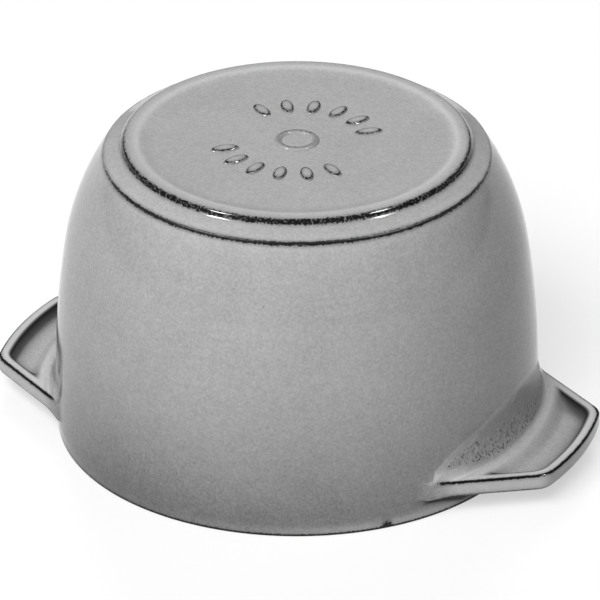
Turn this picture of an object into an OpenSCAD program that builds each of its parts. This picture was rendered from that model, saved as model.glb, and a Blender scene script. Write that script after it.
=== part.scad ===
// Rice cocotte in enamelled cast iron, standing upside down on its rim over its own inset lid.
// Millimetres, +Z up. The origin lies on the surface it stands on, under the middle of the pot.
// The two lugs point along +X and -X.

/* [Pot] */
// Outer diameter of the pot at its widest
belly_d = 129.2; // [128:0.1:131]
// Height from the rim to the foot ring
pot_h = 84; // [82:0.5:88]
// Thickness of the wall, enamel included
wall_t = 3.7; // [3.4:0.1:4]
// Thickness of the floor, enamel included
floor_t = 4.9; // [4.5:0.1:6]
// Outer diameter of the foot ring
foot_d = 92; // [88:0.5:94]
// Width of the flat standing face of the foot ring
foot_w = 3.2; // [2.5:0.1:4]
// Height of the riser around the foot ring
foot_rise = 1.7; // [1.4:0.1:2]
// Depth of the hollow inside the foot ring
base_hollow = 0.8; // [0.5:0.1:1]
// Outer diameter of the sloping band around the foot
step_d = 103; // [101:0.5:104]

/* [Lugs] */
// Width of the pot over both lugs
lug_span = 164.6; // [160:0.2:168]
// Height of the lugs' lower face above the rim
lug_low = 5.6; // [5:0.1:6]
// Thickness of a lug at its border
lug_t = 4.6; // [4.2:0.1:5]
// Distance from the pot's axis to the line of a lug's side
lug_side = 59.4; // [59:0.1:60]
// Angle between a lug's side and its middle line
lug_taper = 32.8; // [31:0.1:35]
// Radius of a lug's outer corners in plan
lug_corner = 3.5; // [3:0.1:4]
// Width of the border around a lug's pocket
pocket_border = 3; // [2.6:0.1:3.4]
// Depth of a lug's pocket
pocket_deep = 2.5; // [1.5:0.1:2.6]
// Height of the web that blends a lug into the wall
web_rise = 14; // [10:0.5:16]

/* [Mouth] */
// Inner diameter of the mouth, where the lid drops in
mouth_d = 121.2; // [120.8:0.1:121.4]
// Depth of the lid seat below the rim
seat_deep = 9; // [8.5:0.1:10]
// Width of the lid seat
seat_w = 2.8; // [2.5:0.1:3]

/* [Lid] */
// Outer diameter of the lid's flange
lid_d = 120; // [119.6:0.1:120.2]
// Thickness of the lid's flange
flange_t = 4; // [3.6:0.1:4.2]
// Height of the skirt that centres the lid in its seat
skirt_h = 3.5; // [3:0.1:4]
// Rise of the lid's dome above its flange
dome_rise = 11.5; // [10:0.5:14]
// Thickness of the lid's dome, enamel included
dome_t = 4.2; // [4:0.1:4.6]
// Height of the basting spikes under the lid
spike_h = 2.5; // [1.5:0.1:3]

/* [Knob] */
// Diameter of the knob
knob_d = 31; // [28:0.5:34]
// Height of the knob
knob_h = 19; // [18:0.5:22]
// Diameter of the knob screw's shank
screw_d = 4.9; // [4.7:0.1:4.9]

/* [Enamel] */
// Thickness of the glossy coat outside
coat_t = 0.4; // [0.3:0.05:0.5]
// Thickness of the matt lining inside
lining_t = 0.3; // [0.2:0.05:0.4]

/* [Hidden] */
$fn = 96;

// Thin slab of a hull's slices, and the overshoot of a cut past a face
slab = 0.01;
past = 1;

// Angle that parts the first point of an arc from the end of the arc before it
arc_gap = 1.5;

// Wall: a long belly arc, then a shoulder arc that meets the ledge under the sloping band
belly_r = belly_d / 2;
belly_z = 14;
belly_curve = 256;
shoulder_z = 53;
band_drop = 3.95;
ledge_out = 0.25;
ledge_h = 0.55;
step_high = [step_d / 2 - ledge_out, pot_h - band_drop];
step_low = step_high + [ledge_out, -ledge_h];
belly_c = [belly_r - belly_curve, belly_z];
shoulder_a = asin((shoulder_z - belly_z) / belly_curve);
shoulder_start = belly_c + belly_curve * [cos(shoulder_a), sin(shoulder_a)];
shoulder_run = step_low - shoulder_start;
shoulder_curve = (shoulder_run * shoulder_run)
    / (-2 * (cos(shoulder_a) * shoulder_run.x + sin(shoulder_a) * shoulder_run.y));
shoulder_c = shoulder_start - shoulder_curve * [cos(shoulder_a), sin(shoulder_a)];
step_a = asin((step_low.y - shoulder_c.y) / shoulder_curve);

// Rim: rounded on both sides, bare of enamel where it stands
rim_round = 0.9;
rim_edge_a = -40;
rim_lip_in = coat_t / 3;
rim_lip_z = 0.63;
rim_a = asin((rim_round - belly_z) / belly_curve);
rim_r = belly_c.x + belly_curve * cos(rim_a);
rim_iron_c = [rim_r - coat_t - rim_round, rim_round];

// Foot
foot_r = foot_d / 2;
foot_round = 0.5;
foot_draft = 0.4;
hollow_slope = 0.8;

// Inside of the pot
mouth_r = mouth_d / 2;
seat_r = mouth_r - seat_w;
bead_h = 2;
bead_end_z = 20;
bead_a = asin((bead_end_z - belly_z) / (belly_curve - wall_t));
floor_z = pot_h - base_hollow - floor_t;
corner_curve = 14;
corner_reach = shoulder_curve - wall_t - corner_curve;
corner_z = floor_z - corner_curve;
corner_a = asin((corner_z - shoulder_c.y) / corner_reach);
corner_c = [shoulder_c.x + corner_reach * cos(corner_a), corner_z];

// Lugs
lug_r = lug_span / 2;
lug_top = lug_low + lug_t;
lug_root_r = 62.4;
lug_sink = 1.5;
lug_edge_low = 1.2;
lug_edge_top = 0.5;
side_normal = [sin(lug_taper), cos(lug_taper)];
side_along = [cos(lug_taper), -sin(lug_taper)];
lug_corner_least = 0.5;
lug_core_in = 1;
lug_core_z = lug_low + lug_core_in;
ridge_out = 5.1;
ridge_r = belly_r + ridge_out;
web_out = 2.3;
web_foot_r = belly_r + web_out;
web_sink = 0.3;
web_width_a = 33;

// Lid, in the place where it lies under the pot
flange_r = lid_d / 2;
flange_top = skirt_h + flange_t;
flange_round = 1.5;
dome_r = 56;
dome_curve = (dome_r * dome_r + dome_rise * dome_rise) / (2 * dome_rise);
dome_c = [0, flange_top + dome_rise - dome_curve];
under_curve = dome_curve - dome_t;
skirt_gap = 0.6;
skirt_out_r = seat_r - skirt_gap;
skirt_in_r = 53.5;
bare_h = 0.6;
boss_r = 9.5;
boss_lift = 0.5;
boss_top = dome_c.y + sqrt(dome_curve * dome_curve - boss_r * boss_r) + boss_lift;
pad_r = 9;
pad_drop = 0.4;
pad_z = dome_c.y + sqrt(under_curve * under_curve - pad_r * pad_r) - pad_drop;
lid_hole_r = 3.1;
spike_rings = [[20, 6], [32, 10], [44, 14]];
spike_r = 2;
spike_tip_r = 0.6;
spike_root = dome_t / 4;

// Knob and its fixing
knob_r = knob_d / 2;
knob_foot_r = 8.5;
knob_foot_h = 1;
knob_neck_r = 6.4;
knob_neck_z = 1.6;
knob_edge_in = 1;
knob_flare_z = 11;
knob_edge_r = 1.6;
knob_edge_z = knob_flare_z + 2 * knob_edge_r;
knob_bore_d = 5;
knob_bore_deep = 11.5;
screw_reach = 10.5;
screw_head_r = 4.6;
screw_head_h = 3;
screw_key_r = 1.75;
screw_key_deep = 1.8;
washer_r = 7;
washer_t = 1.2;
washer_hole_r = 2.7;

// Points along an arc around c, in steps from a0 to a1 degrees
function arc(c, r, a0, a1, steps) = [for (i = [0:steps]) c + r * [cos(a0 + (a1 - a0) * i / steps),
                                                                  sin(a0 + (a1 - a0) * i / steps)]];

function reversed(path) = [for (i = [len(path) - 1:-1:0]) path[i]];

function unit(v) = v / norm(v);

// The left-hand normal of a path's segment that starts at point i
function left_of(path, i) = let (d = unit(path[i + 1] - path[i])) [-d.y, d.x];

// A path moved sideways by d to its left, with mitred corners
function moved(path, d) = [for (i = [0:len(path) - 1]) let (
    before = left_of(path, max(i - 1, 0)),
    after = left_of(path, min(i, len(path) - 2)),
    mitre = before + after) path[i] + d * 2 * mitre / (mitre * mitre)];

// Finished outer face of the pot above the rim, from the rim to the middle of the base
wall_path = concat(
    arc(belly_c, belly_curve, rim_a, shoulder_a, 16),
    arc(shoulder_c, shoulder_curve, shoulder_a + arc_gap, step_a, 14),
    [step_high, [foot_r + foot_draft, pot_h - foot_rise]],
    arc([foot_r - foot_round, pot_h - foot_round], foot_round, 0, 90, 4),
    [[foot_r - foot_w, pot_h], [foot_r - foot_w - hollow_slope, pot_h - base_hollow]],
    [[0, pot_h - base_hollow]]);

// Outer face of the bare iron, from the rim's standing face to the middle of the base
iron_path = concat(arc(rim_iron_c, rim_round, -90, -10, 5), moved(wall_path, coat_t));

// Outer face of the glossy coat, which thins out to nothing on the rim
coat_edge = rim_iron_c + rim_round * [cos(rim_edge_a), sin(rim_edge_a)];
coat_path = concat([coat_edge, [rim_r - rim_lip_in, rim_lip_z]], wall_path);

// Finished inner face of the pot, from the rim's inner edge to the middle of the floor
inside_path = concat(
    [[mouth_r, rim_round], [mouth_r, seat_deep], [seat_r, seat_deep], [seat_r, seat_deep + bead_h]],
    arc(belly_c, belly_curve - wall_t, bead_a, shoulder_a, 10),
    arc(shoulder_c, shoulder_curve - wall_t, shoulder_a + arc_gap, corner_a, 8),
    arc(corner_c, corner_curve, corner_a + 4 * arc_gap, 90, 8),
    [[0, floor_z]]);
lining_back = moved(inside_path, -lining_t);
mouth_iron_c = [mouth_r + lining_t + rim_round, rim_round];

// Plan of a lug, drawn in by some distance: straight sides, round corners and an outer arc about the axis
function lug_plan(inset) = let (
    side = lug_side - inset,
    corner = max(lug_corner - inset, lug_corner_least),
    reach = lug_r - inset,
    c = side_normal * (side - corner) + side_along * sqrt(pow(reach - corner, 2) - pow(side - corner, 2)),
    root = side_normal * side + side_along * sqrt(pow(lug_root_r - lug_sink, 2) - pow(side, 2)),
    tip_a = atan2(c.y, c.x),
    half = concat([root], arc(c, corner, 90 - lug_taper, tip_a, 5), arc([0, 0], reach, tip_a * 0.75, 0, 3)))
    concat(half, reversed([for (p = half) [p.x, -p.y]]));

// Web between a lug and the wall: a hollow curve in section, an arch seen from outside
function web_section(inset) = concat(
    [[lug_root_r, lug_top + web_rise], [lug_root_r, lug_core_z], [web_foot_r, lug_core_z]],
    [for (a = [90:-15:0]) [web_foot_r - inset - (web_foot_r - belly_r + web_sink) * cos(a),
                           lug_top - inset + web_rise * (1 - sin(a))]]);

module web(inset) {
    half_w = belly_r * sin(web_width_a) - inset;
    intersection() {
        rotate_extrude() polygon(web_section(inset));
        linear_extrude(lug_top + web_rise) polygon(lug_plan(inset));
        rotate([90, 0, 90]) linear_extrude(lug_r) polygon(concat(
            [[-half_w, lug_core_z]],
            [for (a = [180:-12:0]) [half_w * cos(a), lug_top + (web_rise - inset) * sin(a)]],
            [[half_w, lug_core_z]]));
    }
}

module lug_plate(inset) {
    hull() for (level = [[lug_low + inset, lug_edge_low], [lug_low + lug_edge_low, 0],
                         [lug_top - lug_edge_top, 0], [lug_top - inset - slab, lug_edge_top]])
        translate([0, 0, level[0]]) linear_extrude(slab) polygon(lug_plan(inset + level[1]));
}

module lug_pocket(inset) {
    translate([0, 0, lug_top - pocket_deep - inset]) difference() {
        linear_extrude(pocket_deep + past) polygon(lug_plan(pocket_border - inset));
        translate([0, 0, -past]) cylinder(r = ridge_r - inset, h = pocket_deep + 3 * past);
    }
}

// Both lugs, each with its face drawn in by some distance all round
module lugs(inset) {
    for (turn = [0, 180]) rotate(turn) {
        difference() {
            lug_plate(inset);
            lug_pocket(inset);
            cylinder(r = lug_root_r, h = pot_h);
        }
        web(inset);
    }
}

// A solid turned from a path that ends on the axis
module turned(path) {
    rotate_extrude() polygon(concat([[0, path[0].y]], path));
}

module pot_casting() {
    color("#3a3a3c") union() {
        rotate_extrude() polygon(concat(
            iron_path, reversed(lining_back), arc(mouth_iron_c, rim_round, 190, 270, 5)));
        lugs(coat_t);
    }
}

module pot_exterior_enamel() {
    color("#98989a") difference() {
        union() {
            turned(coat_path);
            lugs(0);
        }
        union() {
            turned(iron_path);
            lugs(coat_t);
        }
    }
}

module pot_interior_enamel() {
    color("#202022") rotate_extrude() polygon(concat(inside_path, reversed(lining_back)));
}

// Finished top of the lid, from the flange's lower edge to the edge of the screw hole
lid_top_path = concat(
    [[flange_r, skirt_h + bare_h]],
    arc([flange_r - flange_round, flange_top - flange_round], flange_round, 0, 90, 5),
    arc(dome_c, dome_curve, acos(dome_r / dome_curve), acos((boss_r + boss_lift) / dome_curve), 16),
    [[boss_r, boss_top], [lid_hole_r, boss_top]]);

// Finished underside of the lid inside its skirt, from the skirt to the edge of the screw hole
lid_under_path = concat(
    [[skirt_in_r, bare_h]],
    arc(dome_c, under_curve, acos(skirt_in_r / under_curve), acos((pad_r + pad_drop) / under_curve), 14),
    [[pad_r, pad_z], [lid_hole_r, pad_z]]);
lid_top_iron = moved(lid_top_path, coat_t);
lid_under_iron = moved(lid_under_path, -lining_t);

// Cone spikes in rings under the lid, made thicker all round by some distance
module spikes(skin) {
    for (ring = spike_rings, i = [0:ring[1] - 1]) {
        root_z = dome_c.y + sqrt(under_curve * under_curve - ring[0] * ring[0]);
        rotate(i * 360 / ring[1]) translate([ring[0], 0, root_z - spike_h - skin])
            cylinder(r1 = spike_tip_r + skin, r2 = spike_r + skin, h = spike_h + skin + spike_root);
    }
}

module lid_casting() {
    color("#3a3a3c") union() {
        rotate_extrude() polygon(concat(
            [[flange_r - coat_t, skirt_h], [skirt_out_r, skirt_h]],
            [[skirt_out_r, 0], [skirt_in_r + lining_t, 0]],
            lid_under_iron, reversed(lid_top_iron)));
        spikes(0);
    }
}

module lid_exterior_enamel() {
    color("#98989a") rotate_extrude() polygon(concat(lid_top_path, reversed(lid_top_iron)));
}

module lid_interior_enamel() {
    color("#202022") difference() {
        union() {
            rotate_extrude() polygon(concat(lid_under_path, reversed(lid_under_iron)));
            intersection() {
                spikes(lining_t);
                rotate_extrude() polygon(concat([[lid_hole_r, 0], [skirt_in_r, 0]], lid_under_iron));
            }
        }
        spikes(0);
    }
}

// The knob's outline above its foot: a hollow flare, a round edge and a low crown
knob_path = concat(
    [[0, 0], [knob_foot_r, 0], [knob_foot_r, knob_foot_h]],
    [for (a = [0:10:90]) [knob_neck_r + (knob_r - knob_edge_in - knob_neck_r) * (1 - cos(a)),
                          knob_neck_z + (knob_flare_z - knob_neck_z) * sin(a)]],
    arc([knob_r - knob_edge_r, knob_flare_z + knob_edge_r], knob_edge_r, -60, 60, 6),
    [for (a = [15:15:90]) [(knob_r - knob_edge_in) * cos(a),
                           knob_edge_z + (knob_h - knob_edge_z) * sin(a)]]);

module lid_knob() {
    color("#c9cacc") translate([0, 0, boss_top]) difference() {
        rotate_extrude() polygon(knob_path);
        translate([0, 0, -past]) cylinder(d = knob_bore_d, h = knob_bore_deep + past);
    }
}

module knob_screw() {
    head_top = pad_z - washer_t;
    head_low = head_top - screw_head_h;
    shank_low = head_top - slab;
    color("#b4b5b8") difference() {
        union() {
            translate([0, 0, head_low]) cylinder(r = screw_head_r, h = screw_head_h);
            translate([0, 0, shank_low]) cylinder(d = screw_d, h = boss_top + screw_reach - shank_low);
        }
        translate([0, 0, head_low - past]) cylinder(r = screw_key_r, h = screw_key_deep + past, $fn = 6);
    }
}

module screw_washer() {
    color("#b4b5b8") translate([0, 0, pad_z - washer_t]) difference() {
        cylinder(r = washer_r, h = washer_t);
        translate([0, 0, -past]) cylinder(r = washer_hole_r, h = washer_t + 2 * past);
    }
}

pot_casting();
pot_exterior_enamel();
pot_interior_enamel();
lid_casting();
lid_exterior_enamel();
lid_interior_enamel();
lid_knob();
knob_screw();
screw_washer();
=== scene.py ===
"""A grey enamelled cast-iron rice cocotte, upside down on its rim over its own inset lid.

Sizes are in millimetres and turn into metres where a mesh is made. Angles are in degrees.
"""

from math import acos, asin, atan2, cos, degrees, pi, radians, sin, sqrt

import bpy
import numpy as np
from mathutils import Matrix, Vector, noise


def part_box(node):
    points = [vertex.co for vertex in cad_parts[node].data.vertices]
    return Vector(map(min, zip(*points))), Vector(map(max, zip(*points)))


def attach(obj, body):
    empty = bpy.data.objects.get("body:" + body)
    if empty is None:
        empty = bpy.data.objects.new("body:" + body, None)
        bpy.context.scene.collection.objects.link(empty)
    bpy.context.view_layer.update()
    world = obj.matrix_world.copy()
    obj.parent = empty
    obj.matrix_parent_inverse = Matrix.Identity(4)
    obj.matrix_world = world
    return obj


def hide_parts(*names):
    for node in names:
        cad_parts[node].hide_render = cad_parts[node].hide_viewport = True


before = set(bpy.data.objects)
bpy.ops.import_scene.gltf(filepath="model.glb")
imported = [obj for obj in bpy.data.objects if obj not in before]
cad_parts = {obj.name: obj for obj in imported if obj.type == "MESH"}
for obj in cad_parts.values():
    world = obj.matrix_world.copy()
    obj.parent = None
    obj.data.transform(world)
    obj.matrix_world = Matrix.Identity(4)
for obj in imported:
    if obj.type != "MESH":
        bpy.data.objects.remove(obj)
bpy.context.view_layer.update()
MM = 0.001


def box_mm(node):
    """Lowest and highest corner of a CAD node, in millimetres."""
    low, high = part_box(node)
    return np.array(low) / MM, np.array(high) / MM


# Sizes of the pot's outside
LUG_R, BELLY_R, POT_H = box_mm("pot_exterior_enamel")[1]
COAT_T = 0.4
BELLY_Z = 14.0
BELLY_CURVE = 256.0
SHOULDER_Z = 53.0
LEDGE_HIGH = np.array([51.25, POT_H - 3.95])
LEDGE_LOW = LEDGE_HIGH + [0.25, -0.55]
FOOT_R = 46.0
FOOT_RISE = 1.7
FOOT_DRAFT = 0.4
FOOT_W = 3.2
BASE_HOLLOW = 0.8
BASE_Z = POT_H - BASE_HOLLOW
BASE_MIDDLE_R = 1.2
RIM_ROUND = 0.9

# Sizes of the lugs. An edge or fillet has its size, and how far out from the wall that size is full.
LUG_LOW = 5.6
LUG_TOP = 10.2
LUG_SIDE = 59.4
LUG_TAPER = 32.8
LUG_CORNER = 5.5
LUG_CORNER_SOFT = 0.48 * LUG_CORNER
LUG_ROOT_SOFT = 3.0
LUG_EDGE_LOW = (1.2, 4.0)
LUG_EDGE_TOP = (0.75, 3.0)
LUG_FILLET = (2.2, 5.0)
LUG_STAND = 2.5
LUG_START = 0.7
LUG_SPREAD = 6.0

# Sizes of the pocket in a lug's top, of its border and of the ridge behind it
BORDER_CROWN = 0.22
POCKET_BORDER = 2.9
POCKET_LIP = 0.4
POCKET_DEEP = 2.5
POCKET_RUN = 1.5
POCKET_FOOT = 1.5 * POCKET_RUN
POCKET_CORNER = 2.0
POCKET_BLEND = 1.3
RIDGE_R = BELLY_R + 4.1
RIDGE_RUN = 4.0
RIDGE_BACK = 0.5
LEAST_STEP = 1 / 30

# Sizes of the rough web from a lug's ridge up to the wall, into which its upper part fades
WEB_OUT = 2.3
WEB_RISE = 14.0
WEB_HALF_TURN = 33.0
WEB_SINK = 0.3
WEB_COVER = 0.7
WEB_BLEND = 0.5
WEB_WALL_BLEND = 0.1
WEB_ROWS = 26
WEB_ROW_CURVE = 1.3
WEB_FADE_END = 0.25
WEB_FADE_MIDDLE = 0.75
ROUGH_LUMP = 0.1
ROUGH_LEAST = 0.02
LUMP_LIFT = 0.35
LUMP_SIZES = ((2.2, 1.0), (1.2, 0.6))

# Steps of the pot's surface round its axis, fine at the lugs and coarse between them, and up its plain wall
LUG_ZONE = 43.0
FINE_STEP = 0.5
COARSE_STEP = 2.0
WALL_ROWS = 30
WALL_ROW_CURVE = 1.25

# Thin glaze over the sharp edges: strength, reach and, on the lugs, how far inside the corner its middle lies
RIM_THIN = (1.6, 0.75)
LEDGE_THIN = (1.15, 0.75)
FOOT_THIN = (0.94, 1.05)
LUG_TOP_THIN = (1.2, 0.58, 0.25)
LUG_LOW_THIN = (1.0, 0.62, 0.3)
LUG_LINE_STAND = 1.6
CHIP_AT = 314.8
CHIP_THIN = (1.4, 1.7)

# Dark lines of the step and foot, full round one side: half that turn, the turn of easing off, and the loss
FULL_LINE_AT = -66.0
LEDGE_LINE = (40.0, 60.0, 0.45)
FOOT_LINE = (80.0, 40.0, 0.45)

# Paler tone beside the edges, with its reach where it is a line, then painted light and shade, and the loss
# of tone towards the rim
PALE_REACH = 3.2
PALE_GAIN = 0.1
# Painted light on the foot ring's inner lip
FOOT_LIP_PALE = (0.3, 1.1)
# Painted light on the lugs, full at some distance off the wall
LUG_PALE = 0.25
OFF_WALL = 4.0
# Painted light taken off again in the lug pockets, by their depth
POCKET_LOSS = 0.22
# A painted reflection just above the rim, and the turn where it is strongest
RIM_PALE = (0.7, 1.8)
RIM_PALE_AT = -20.0
RIM_LOSS = 0.43
RIM_FADE = 46.0
RIM_FADE_CURVE = 1.8
RIM_LEAN = 0.65
RIM_LEAN_AT = -126.0

# Painted shade on a pocket's outer wall, with its start and rise in runs of that wall, and under a lug's root
POCKET_DARK = 0.92
DARK_START = -0.45
DARK_RISE = 0.6
DARK_CURVE = 2.2
DARK_PAST_RIDGE = 4.0
DARK_PAST_RUN = 2.5
CREASE_STAND = 1.0
CREASE_DROP = 1.5
CREASE_LEAN = 0.5
CREASE_REACH = 6.0

# Rough glaze on the step and on the web, whose ends lie higher, and the painted light on the web, its lip and
# its roots
LEDGE_ROUGH = (0.85, 0.8)
WEB_END_AT = 15.0
WEB_END_TURN = 15.0
WEB_END_RISE = 2.0
WEB_END_FOOT = 2.6
WEB_TOP_CURVE = 1.7
WEB_START = (0.1, 1.2)
WEB_STOP = (0.8, 3.0)
WEB_EASE = 0.4
WEB_PALE = 0.16
WEB_LIP_PALE = (0.2, 0.6)
ROOT_PALE = 0.4

# Sizes of the pot's inside
WALL_T = 3.7
LINING_T = 0.3
MOUTH_R = 60.6
SEAT_DEEP = 9.0
SEAT_R = 57.8
BEAD_H = 2.0
BEAD_END_Z = 20.0
FLOOR_Z = BASE_Z - 4.9
FLOOR_R = 20.0
CORNER_CURVE = 14.0

# Sizes of the lid and its spikes
LID_TOP_LOW, LID_TOP_HIGH = box_mm("lid_exterior_enamel")
FLANGE_R = LID_TOP_HIGH[0]
FLANGE_TOP = 7.5
FLANGE_ROUND = 1.5
DOME_R = 56.0
DOME_RISE = 11.5
DOME_T = 4.2
DOME_CURVE = (DOME_R ** 2 + DOME_RISE ** 2) / (2 * DOME_RISE)
DOME_C = np.array([0.0, FLANGE_TOP + DOME_RISE - DOME_CURVE])
UNDER_CURVE = DOME_CURVE - DOME_T
SKIRT_IN_R = 53.5
BARE_H = 0.6
BOSS_R = 9.5
BOSS_TOP = LID_TOP_HIGH[2]
PAD_R = 9.0
PAD_DROP = 0.4
LID_HOLE_R = 3.1
LID_EDGE_REACH = 0.6
SPIKE_H = 2.5
SPIKE_R = 2.0
SPIKE_TIP_R = 0.6
SPIKE_RINGS = ((20.0, 6), (32.0, 10), (44.0, 14))

# Sizes of the knob
KNOB_LOW, KNOB_HIGH = box_mm("lid_knob")
KNOB_R = KNOB_HIGH[0]
KNOB_H = KNOB_HIGH[2] - KNOB_LOW[2]
KNOB_FOOT_R = 8.5
KNOB_FOOT_H = 1.0
KNOB_NECK_R = 6.4
KNOB_NECK_Z = 1.6
KNOB_FLARE_Z = 11.0
KNOB_EDGE_R = 1.6
KNOB_EDGE_IN = 1.0
KNOB_BORE_R = 2.5
KNOB_BORE_DEEP = 11.5

# Cast ornament in the hollow of the base: grains of rice in two arcs, and a ring in the middle
GRAIN_LONG = 4.0
GRAIN_WIDE = 1.8
GRAIN_HIGH = 0.7
GRAIN_ARC_R = 19.5
GRAIN_ARC_SPAN = 104.0
GRAIN_COUNT = 6
MARK_RING_R = 5.0
MARK_RING_W = 1.0
MARK_RING_SINK = 0.05
MARK_RING_THIN = 0.62

# Segments round each turned form, the gap that closes its seam, and how much of a line a round may take up
TURN_SEGMENTS = 192
KNOB_SEGMENTS = 96
MARK_RING_SEGMENTS = 72
GRAIN_SEGMENTS = 40
SPIKE_SEGMENTS = 20
SEAM_GAP = 0.002
ROUND_SHARE = 0.4


# Outlines in the half plane of radius and height

def unit(angle):
    return np.array([cos(radians(angle)), sin(radians(angle))])


def arc(centre, radius, start, end, steps):
    """Points along an arc, from a start to an end angle."""
    angles = np.radians(np.linspace(start, end, steps + 1))
    return np.array(centre) + radius * np.stack([np.cos(angles), np.sin(angles)], axis=1)


BELLY_C = np.array([BELLY_R - BELLY_CURVE, BELLY_Z])
SHOULDER_A = degrees(asin((SHOULDER_Z - BELLY_Z) / BELLY_CURVE))
SHOULDER_DIR = unit(SHOULDER_A)
SHOULDER_RUN = LEDGE_LOW - (BELLY_C + BELLY_CURVE * SHOULDER_DIR)
SHOULDER_CURVE = SHOULDER_RUN @ SHOULDER_RUN / (-2 * SHOULDER_DIR @ SHOULDER_RUN)
SHOULDER_C = BELLY_C + (BELLY_CURVE - SHOULDER_CURVE) * SHOULDER_DIR


def wall_r(height, depth=0.0):
    """Radius of the wall's outer face at a height, or of a face some depth behind it."""
    z = np.asarray(height, float)
    belly = BELLY_C[0] + np.sqrt((BELLY_CURVE - depth) ** 2 - (z - BELLY_C[1]) ** 2)
    shoulder = SHOULDER_C[0] + np.sqrt((SHOULDER_CURVE - depth) ** 2 - (z - SHOULDER_C[1]) ** 2)
    return np.where(z < SHOULDER_Z, belly, shoulder)


def softened(path, radius, sharpest=14.0):
    """A path with round corners, but for turns under the sharpest that may stay."""
    path = np.asarray(path, float)
    done = [path[0]]
    for before, corner, after in zip(path[:-2], path[1:-1], path[2:]):
        back, ahead = before - corner, after - corner
        reach_back, reach_ahead = np.linalg.norm(back), np.linalg.norm(ahead)
        turn = degrees(acos(np.clip(-back @ ahead / (reach_back * reach_ahead), -1, 1)))
        if turn < sharpest:
            done.append(corner)
            continue
        start = corner + back / reach_back * min(radius, reach_back * ROUND_SHARE)
        end = corner + ahead / reach_ahead * min(radius, reach_ahead * ROUND_SHARE)
        for t in np.linspace(0, 1, 5):
            done.append((1 - t) ** 2 * start + 2 * t * (1 - t) * corner + t * t * end)
    done.append(path[-1])
    return np.array(done)


def moved(path, distance):
    """A path moved sideways to its left, with mitred corners."""
    path = np.asarray(path, float)
    steps = np.diff(path, axis=0)
    left = np.stack([-steps[:, 1], steps[:, 0]], axis=1) / np.linalg.norm(steps, axis=1)[:, None]
    mitre = np.vstack([left[:1], left]) + np.vstack([left, left[-1:]])
    return path + distance * 2 * mitre / (mitre ** 2).sum(1)[:, None]


def smooth_step(x):
    x = np.clip(x, 0.0, 1.0)
    return x * x * (3 - 2 * x)


def smooth_min(a, b, width):
    """The lesser of two values, blended where they come within a width of each other."""
    h = np.clip(width - np.abs(a - b), 0.0, None) / width
    return np.minimum(a, b) - h * h * width / 4


def smooth_max(a, b, width):
    return -smooth_min(-a, -b, width)


def gap_to(points, place):
    """Distance of every point from one radius and height."""
    return np.linalg.norm(points - place, axis=-1)


def mark(gap, strength, reach):
    """A mark that is strongest in its middle and falls off with the distance from there."""
    return strength * np.exp(-(gap / reach) ** 2)


# Meshes

def add_object(name, data):
    obj = bpy.data.objects.new(name, data)
    bpy.context.scene.collection.objects.link(obj)
    return obj


def mesh_object(name, vertices, faces=(), edges=()):
    """A smooth mesh object at the origin, made from millimetre vertices."""
    mesh = bpy.data.meshes.new(name)
    mesh.from_pydata((np.asarray(vertices) * MM).tolist(), list(edges), list(faces))
    mesh.shade_smooth()
    return add_object(name, mesh)


def set_attribute(mesh, name, values):
    """Stores one number for each vertex under a name that a material reads."""
    layer = mesh.attributes.new(name, "FLOAT", "POINT")
    layer.data.foreach_set("value", np.asarray(values, np.float32).ravel())


def outline_object(name, path, thin=0.0):
    """An outline as a chain of edges in the plane of X and Z, with its thinness at each point."""
    path = np.asarray(path, float)
    obj = mesh_object(name, np.insert(path, 1, 0.0, axis=1), edges=[(i, i + 1) for i in range(len(path) - 1)])
    set_attribute(obj.data, "thin", np.full(len(path), thin))
    return obj


# The pot's glaze

def turn_steps():
    """Angles of the columns round the axis, and how far each lies from the nearest lug's middle line."""
    fine = np.arange(-LUG_ZONE, LUG_ZONE, FINE_STEP)
    coarse = np.arange(LUG_ZONE, 180 - LUG_ZONE, COARSE_STEP)
    half_turn = np.concatenate([fine, coarse])
    angles = np.concatenate([half_turn, half_turn + 180])
    return angles, np.abs((angles + 90) % 180 - 90)


def side_sine(off):
    """Sine of the angle at which a line out from the axis meets a lug's straight side."""
    return np.sin(np.radians(np.minimum(off + LUG_TAPER, 90)))


def lug_reach(off, inset, corner):
    """Radius of a lug's outline in plan, drawn in by an inset: outer arc, round corner and straight side."""
    side, tip = LUG_SIDE - inset, LUG_R - inset
    normal, along = unit(90 - LUG_TAPER), unit(-LUG_TAPER)
    centre = normal * (side - corner) + along * sqrt((tip - corner) ** 2 - (side - corner) ** 2)
    tangent = centre + normal * corner
    turn = np.radians(off)
    forward = centre[0] * np.cos(turn) + centre[1] * np.sin(turn)
    on_corner = forward + np.sqrt(np.clip(corner ** 2 - centre @ centre + forward ** 2, 0, None))
    past_corner = np.where(turn < atan2(tangent[1], tangent[0]), on_corner, side / side_sine(off))
    return np.where(turn < atan2(centre[1], centre[0]), tip, past_corner)


def inside_lug(off, radius, inset, corner_soft):
    """Distance in plan from a lug's outline, drawn in by an inset, to points inside it."""
    return smooth_min(LUG_R - inset - radius, LUG_SIDE - inset - radius * side_sine(off), corner_soft)


def pocket_depth(off, radius):
    """Depth of a lug's pocket, and the painted shade on its steep outer wall."""
    outer = inside_lug(off, radius, POCKET_BORDER, POCKET_CORNER) / POCKET_RUN
    share = smooth_min(outer, (radius - RIDGE_R) / RIDGE_RUN, POCKET_BLEND)
    rise = np.clip((outer - DARK_START) / DARK_RISE, 0, 1)
    fall = np.exp(-np.clip(outer - DARK_START - DARK_RISE, 0, None))
    past_ridge = smooth_step((radius - BELLY_R - DARK_PAST_RIDGE) / DARK_PAST_RUN)
    dark = (1 - (1 - POCKET_DARK * rise * fall) ** DARK_CURVE) * past_ridge
    return POCKET_DEEP * smooth_step(share), dark


def eased(angles, full, fade, loss):
    """Strength of a dark line round the pot, which eases off away from one side."""
    from_full = np.abs((angles - FULL_LINE_AT + 180) % 360 - 180)
    return 1 - loss * smooth_step((from_full - full) / fade)


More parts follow.
